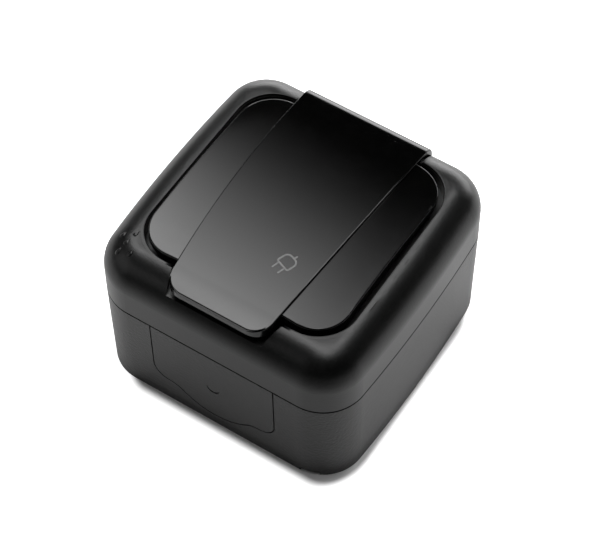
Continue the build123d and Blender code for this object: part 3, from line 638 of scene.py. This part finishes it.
# drop: rings of a tear outline shrunk towards the middle, lifted along the cover's normal by a dome
def dropRings(place, s):
    t = np.linspace(0, 2 * np.pi, s["around"], endpoint=False)
    girth = np.sin(t) * np.sin(t / 2) ** s["point"] * s["width"] / 2 * s["fullness"]
    tear = turnPlan(np.stack([girth, np.cos(t) * s["length"] / 2], -1), s["turn"])
    share = np.linspace(s["middle"], 1.0, s["rings"])
    reach = np.concatenate([share, [1.0, s["underMiddle"]]])
    lift = np.concatenate([s["height"] * (1 - share ** s["dome"]), [-s["sink"], -s["sink"]]])
    plan = np.array(place) + reach[:, None, None] * tear[None]
    x, y = plan[..., 0], plan[..., 1]
    step = s["slopeStep"]
    slopeX = (coverHeight(x + step, y) - coverHeight(x - step, y)) / (2 * step)
    slopeY = (coverHeight(x, y + step) - coverHeight(x, y - step)) / (2 * step)
    normal = np.stack([-slopeX, -slopeY, np.ones_like(x)], -1)
    normal /= np.linalg.norm(normal, axis=-1, keepdims=True)
    return np.stack([x, y, coverHeight(x, y)], -1) + lift[:, None, None] * normal, False


# land round the opening that carries the cover's surface on to a crisp edge, in mm
rimSet = {
    "opening": (29.9, -29.15, 30.8),   # side, front, back
    "corner": 10.8,
    "frontEnd": 16.4,
    "backEnd": 18.95,
    "reach": 1.6,
    "edge": 0.28,
    "drop": 1.3,
    "sink": 0.02,                  # starts below the cover, ends above it
    "proud": 0.012,
    "tuck": 0.6,                   # underside, as a share of the reach
    "arcSteps": 30,
    "sideSteps": 26,
    "flatSteps": 9,
    "edgeSteps": 7,
}


# plan path of one side of the opening and its outward directions, from finger notch to hinge
def rimPath(side, s):
    x, yFront, yBack = s["opening"]
    r = s["corner"]
    front = np.radians(np.linspace(-90, 0, s["arcSteps"]))
    back = np.radians(np.linspace(0, 90, s["arcSteps"]))
    straight = np.linspace(yFront + r, yBack - r, s["sideSteps"])[1:-1]
    points = np.concatenate([
        [(s["frontEnd"], yFront)],
        np.stack([x - r + r * np.cos(front), yFront + r + r * np.sin(front)], -1),
        np.stack([np.full_like(straight, x), straight], -1),
        np.stack([x - r + r * np.cos(back), yBack - r + r * np.sin(back)], -1),
        [(s["backEnd"], yBack)],
    ])
    turns = np.concatenate([front[:1], front, np.zeros_like(straight), back, back[-1:]])
    out = np.stack([np.cos(turns), np.sin(turns)], -1)
    flip = np.array([side, 1.0])
    return points * flip, out * flip


# section: along the cover's surface to the edge, round it, down the wall and back inside the cover
def rimRings(side, s):
    points, out = rimPath(side, s)
    turn = np.linspace(0, np.pi / 2, s["edgeSteps"])[1:]
    steps = np.concatenate([
        np.linspace(s["reach"], s["edge"], s["flatSteps"]),
        s["edge"] * (1 - np.sin(turn)),
        [0.0, s["reach"] * s["tuck"]],
    ])
    fall = np.concatenate([
        np.linspace(s["sink"], -s["proud"], s["flatSteps"]),
        s["edge"] * (1 - np.cos(turn)) - s["proud"],
        [s["drop"], s["drop"]],
    ])
    plan = points[:, None, :] + steps[None, :, None] * out[:, None, :]
    base = points[:, None, :] + np.maximum(steps, s["edge"])[None, :, None] * out[:, None, :]
    height = coverHeight(base[..., 0], base[..., 1]) - fall
    return np.concatenate([plan, height[..., None]], -1), False


# crisp end of the band over its front roll, in mm
lipSet = {
    "start": -27.0,
    "halfWidth": 14.0,
    "cornerCentre": (9.3, -31.2),
    "corner": 5.01,
    "sink": 0.03,                  # starts below the crown, ends above it
    "proud": 0.012,
    "rise": 5.0,                   # length of the way up
    "fall": 0.004,                 # beyond the rise
    "edge": 0.22,
    "bottom": 48.9,
    "heel": 0.08,                  # last ring above the bottom
    "tuck": 1.0,                   # underside behind the front face
    "root": 0.5,                   # back face below the start
    "columns": 61,
    "topSteps": 30,
    "edgeSteps": 7,
}


# section at each x: the crown carried on with a growing fall to the plan edge, a small round edge,
# the front face and a short underside
def lipRings(s):
    x = s["halfWidth"] * np.sin(np.linspace(-np.pi / 2, np.pi / 2, s["columns"]))[:, None]
    beyond = np.maximum(np.abs(x) - s["cornerCentre"][0], 0.0)
    front = s["cornerCentre"][1] - np.sqrt(s["corner"] ** 2 - beyond ** 2)
    share = np.linspace(0, 1, s["topSteps"])
    topY = s["start"] + share * (front + s["edge"] - s["start"])
    run = s["start"] - topY
    ease = np.clip(run / s["rise"], 0, 1)
    lift = (s["proud"] + s["sink"]) * ease ** 2 * (3 - 2 * ease) - s["sink"]
    topZ = crownHeight(topY) + lift - s["fall"] * np.maximum(run - s["rise"], 0) ** 2
    turn = np.linspace(0, np.pi / 2, s["edgeSteps"])[1:]
    edgeY = front + s["edge"] * (1 - np.sin(turn))
    edgeZ = topZ[:, -1:] - s["edge"] * (1 - np.cos(turn))
    foot = np.full_like(x, s["bottom"])
    y = np.hstack([topY[:, :1], topY, edgeY, front, front, front + s["tuck"]])
    z = np.hstack([topZ[:, :1] - s["root"], topZ, edgeZ, foot + s["heel"], foot, foot])
    return np.stack([np.broadcast_to(x, y.shape), y, z], -1), False


# painted shade: a black strip with no gloss, set just inside the joint between box and cover to
# darken it, in mm
seamShadeSet = {
    "inset": 0.03,                 # behind the walls
    "depth": 0.8,
    "low": 30.44,
    "high": 31.12,
    "lean": 3.6,                   # degrees between the corner's end and the X axis
    "cornerSteps": 24,
    "sideSteps": 30,
}


# outline of the housing, bowed sides and round corners, with its outward directions
def housingPath(s, c=coverSet):
    quarter = np.radians(np.linspace(-90, -s["lean"], s["cornerSteps"]))
    arc = np.stack([c["cornerCentre"][0] + c["corner"] * np.cos(quarter),
                    -c["cornerCentre"][1] + c["corner"] * np.sin(quarter)], -1)
    y = np.linspace(arc[-1, 1], -arc[-1, 1], s["sideSteps"])[1:-1]
    side = np.stack([c["half"][0] - c["bow"] * (y / c["half"][1]) ** 2, y], -1)
    right = np.concatenate([arc, side, arc[::-1] * (1, -1)])
    path = np.concatenate([right, right[::-1] * (-1, 1)])
    along = np.roll(path, -1, 0) - np.roll(path, 1, 0)
    out = np.stack([along[:, 1], -along[:, 0]], -1)
    return path, out / np.linalg.norm(out, axis=1, keepdims=True)


# section of the painted-shade strip in the joint: a rectangle just inside the walls
def seamShadeRings(s):
    path, out = housingPath(s)
    steps = -np.array([s["inset"], s["inset"], s["depth"], s["depth"]])
    z = np.array([s["low"], s["high"], s["high"], s["low"]])
    plan = path[:, None, :] + steps[None, :, None] * out[:, None, :]
    return np.concatenate([plan, np.broadcast_to(z, plan.shape[:2])[..., None]], -1), True


drops = [dropRings(place, dropSet) for place in dropSet["places"]]
rims = [rimRings(side, rimSet) for side in (-1.0, 1.0)]
addTubes("plugSign", signTubes(signSet), "signPaint", "lid")
addTubes("dropMarks", drops, "coverPlastic", "base")
addTubes("openingRim", rims, "coverPlastic", "base")
addTubes("lipCap", [lipRings(lipSet)], "lidPlastic", "lid")
# painted shade: a black strip darkens the joint between box and cover
addTubes("seamShadeStrip", [seamShadeRings(seamShadeSet)], "seamShadeBlack", "base")
print("pieces added")
